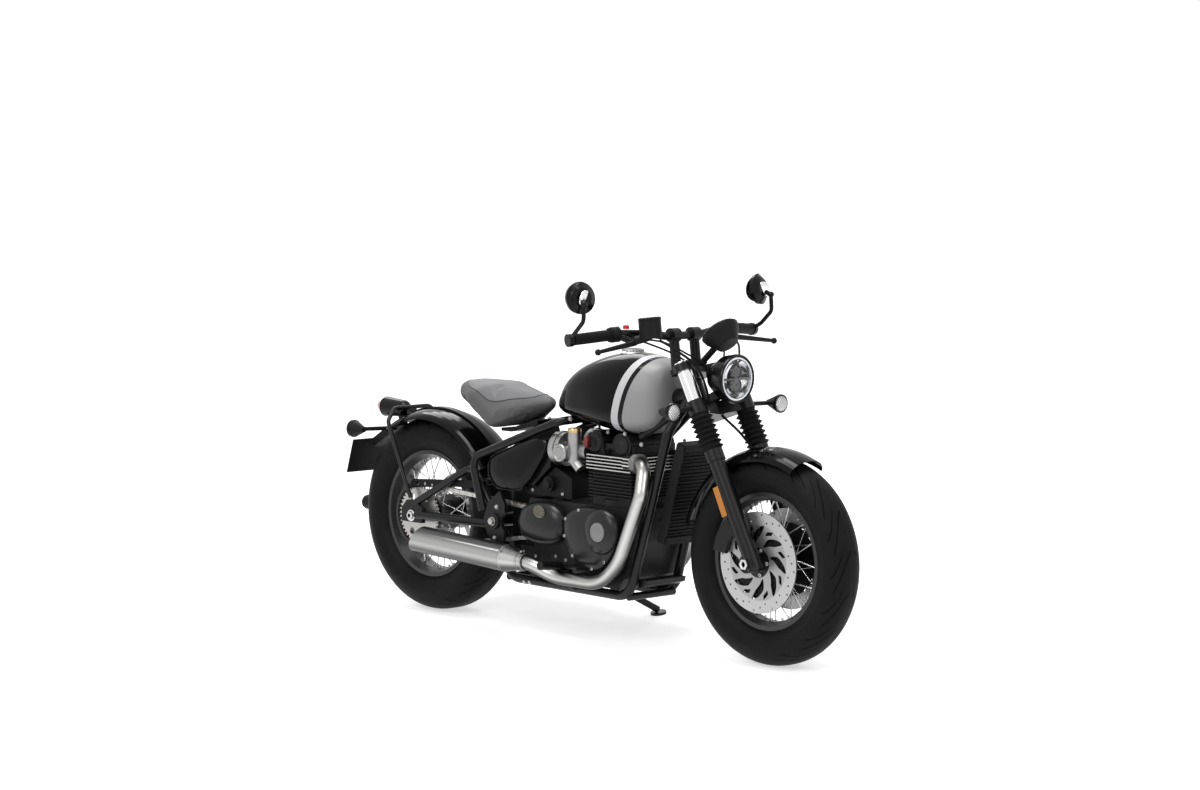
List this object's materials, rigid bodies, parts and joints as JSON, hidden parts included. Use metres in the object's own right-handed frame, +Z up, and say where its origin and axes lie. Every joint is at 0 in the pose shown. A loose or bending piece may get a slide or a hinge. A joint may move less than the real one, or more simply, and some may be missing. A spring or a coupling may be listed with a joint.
{
  "type": "bobber motorcycle",
  "caption": "Low bobber motorcycle with solo seat, finned upright engine, wire-spoked wheels, gaitered fork, chain drive and side stand, parked at a lean.",
  "frame": {"origin": "on the ground under the middle of the bounding box of the parked machine", "axes": "+X forward along the machine, +Y to the rider's left, +Z up from the ground; the machine leans to its left by ten degrees"},
  "size_m": [2.199, 0.8861, 1.2142],
  "materials": {
    "frame_black": "satin black paint",
    "engine_black": "satin black coating",
    "engine_cover": "satin black coating with silver centres",
    "gloss_black": "gloss black paint",
    "tank_paint": "gloss black and silver paint",
    "bright_alloy": "machined",
    "steel_pipe": "brushed",
    "chrome_tube": "polished",
    "tyre_rubber": "matte",
    "soft_rubber": "matte",
    "disc_steel": "ground",
    "chain_steel": "oiled",
    "seat_leather": "grey leather",
    "matte_black": "matte black plastic",
    "gloss_plastic": "gloss black plastic",
    "lamp_glass": "clear",
    "red_lens": "red lens"
  },
  "bodies": {
    "chassis": {"frame": "frame_black", "cradle": "frame_black", "swingarm": "frame_black", "swingarm_tubes": "frame_black", "battery_box": "matte_black", "crankcase": "engine_black", "cylinder_block": "engine_black", "cylinder_head": "engine_black", "cam_cover": "engine_black", "clutch_cover": "engine_cover", "alternator_cover": "engine_cover", "sprocket_cover": "engine_cover", "throttle_bodies": "bright_alloy", "side_panels": "gloss_plastic", "exhaust_pipes": "steel_pipe", "silencers": "steel_pipe", "radiator": "matte_black", "fuel_tank": "tank_paint", "fuel_cap": "bright_alloy", "seat_pad": "seat_leather", "seat_pan": "matte_black", "rear_mudguard": "gloss_black", "mudguard_stay": "frame_black", "tail_lamp": "gloss_plastic", "tail_lens": "red_lens", "rear_indicators": "matte_black", "number_plate": "matte_black", "shock_absorber": "frame_black", "footrests": "frame_black", "drive_chain": "chain_steel", "chain_guard": "matte_black", "rear_caliper": "engine_black"},
    "side_stand": {"side_stand": "frame_black"},
    "rear_wheel": {"rear_tyre": "tyre_rubber", "rear_rim": "frame_black", "rear_sprocket": "disc_steel", "rear_disc": "disc_steel"},
    "steering": {"fork_yokes": "frame_black", "fork_tubes": "chrome_tube", "fork_gaiters": "soft_rubber", "fork_sliders": "frame_black", "front_spindle": "chain_steel", "front_mudguard": "gloss_black", "front_calipers": "engine_black", "handlebar": "frame_black", "grips": "soft_rubber", "controls": "matte_black", "mirrors": "gloss_plastic", "headlight": "gloss_black", "headlight_lens": "lamp_glass", "instrument": "matte_black", "front_indicators": "matte_black"},
    "front_wheel": {"front_tyre": "tyre_rubber", "front_rim": "frame_black", "front_discs": "disc_steel"}
  },
  "joints": [
    {"name": "steering", "type": "hinge", "parent": "chassis", "child": "steering", "pos_m": [0.8715, -0.192, 0.0036], "axis": [-0.4695, 0.1533, 0.8695], "range_deg": [-30, 30]},
    {"name": "front_wheel_spin", "type": "hinge", "parent": "steering", "child": "front_wheel", "pos_m": [0.7795, -0.13671, 0.31716], "axis": [0, 0.9848, -0.1736], "continuous": true},
    {"name": "rear_wheel_spin", "type": "hinge", "parent": "chassis", "child": "rear_wheel", "pos_m": [-0.7205, -0.13609, 0.32071], "axis": [0, 0.9848, -0.1736], "continuous": true},
    {"name": "side_stand_fold", "type": "hinge", "parent": "chassis", "child": "side_stand", "pos_m": [-0.0105, -0.0443, 0.11565], "axis": [-0.1863, 0.9417, 0.2801], "range_deg": [0, 113]}
  ]
}
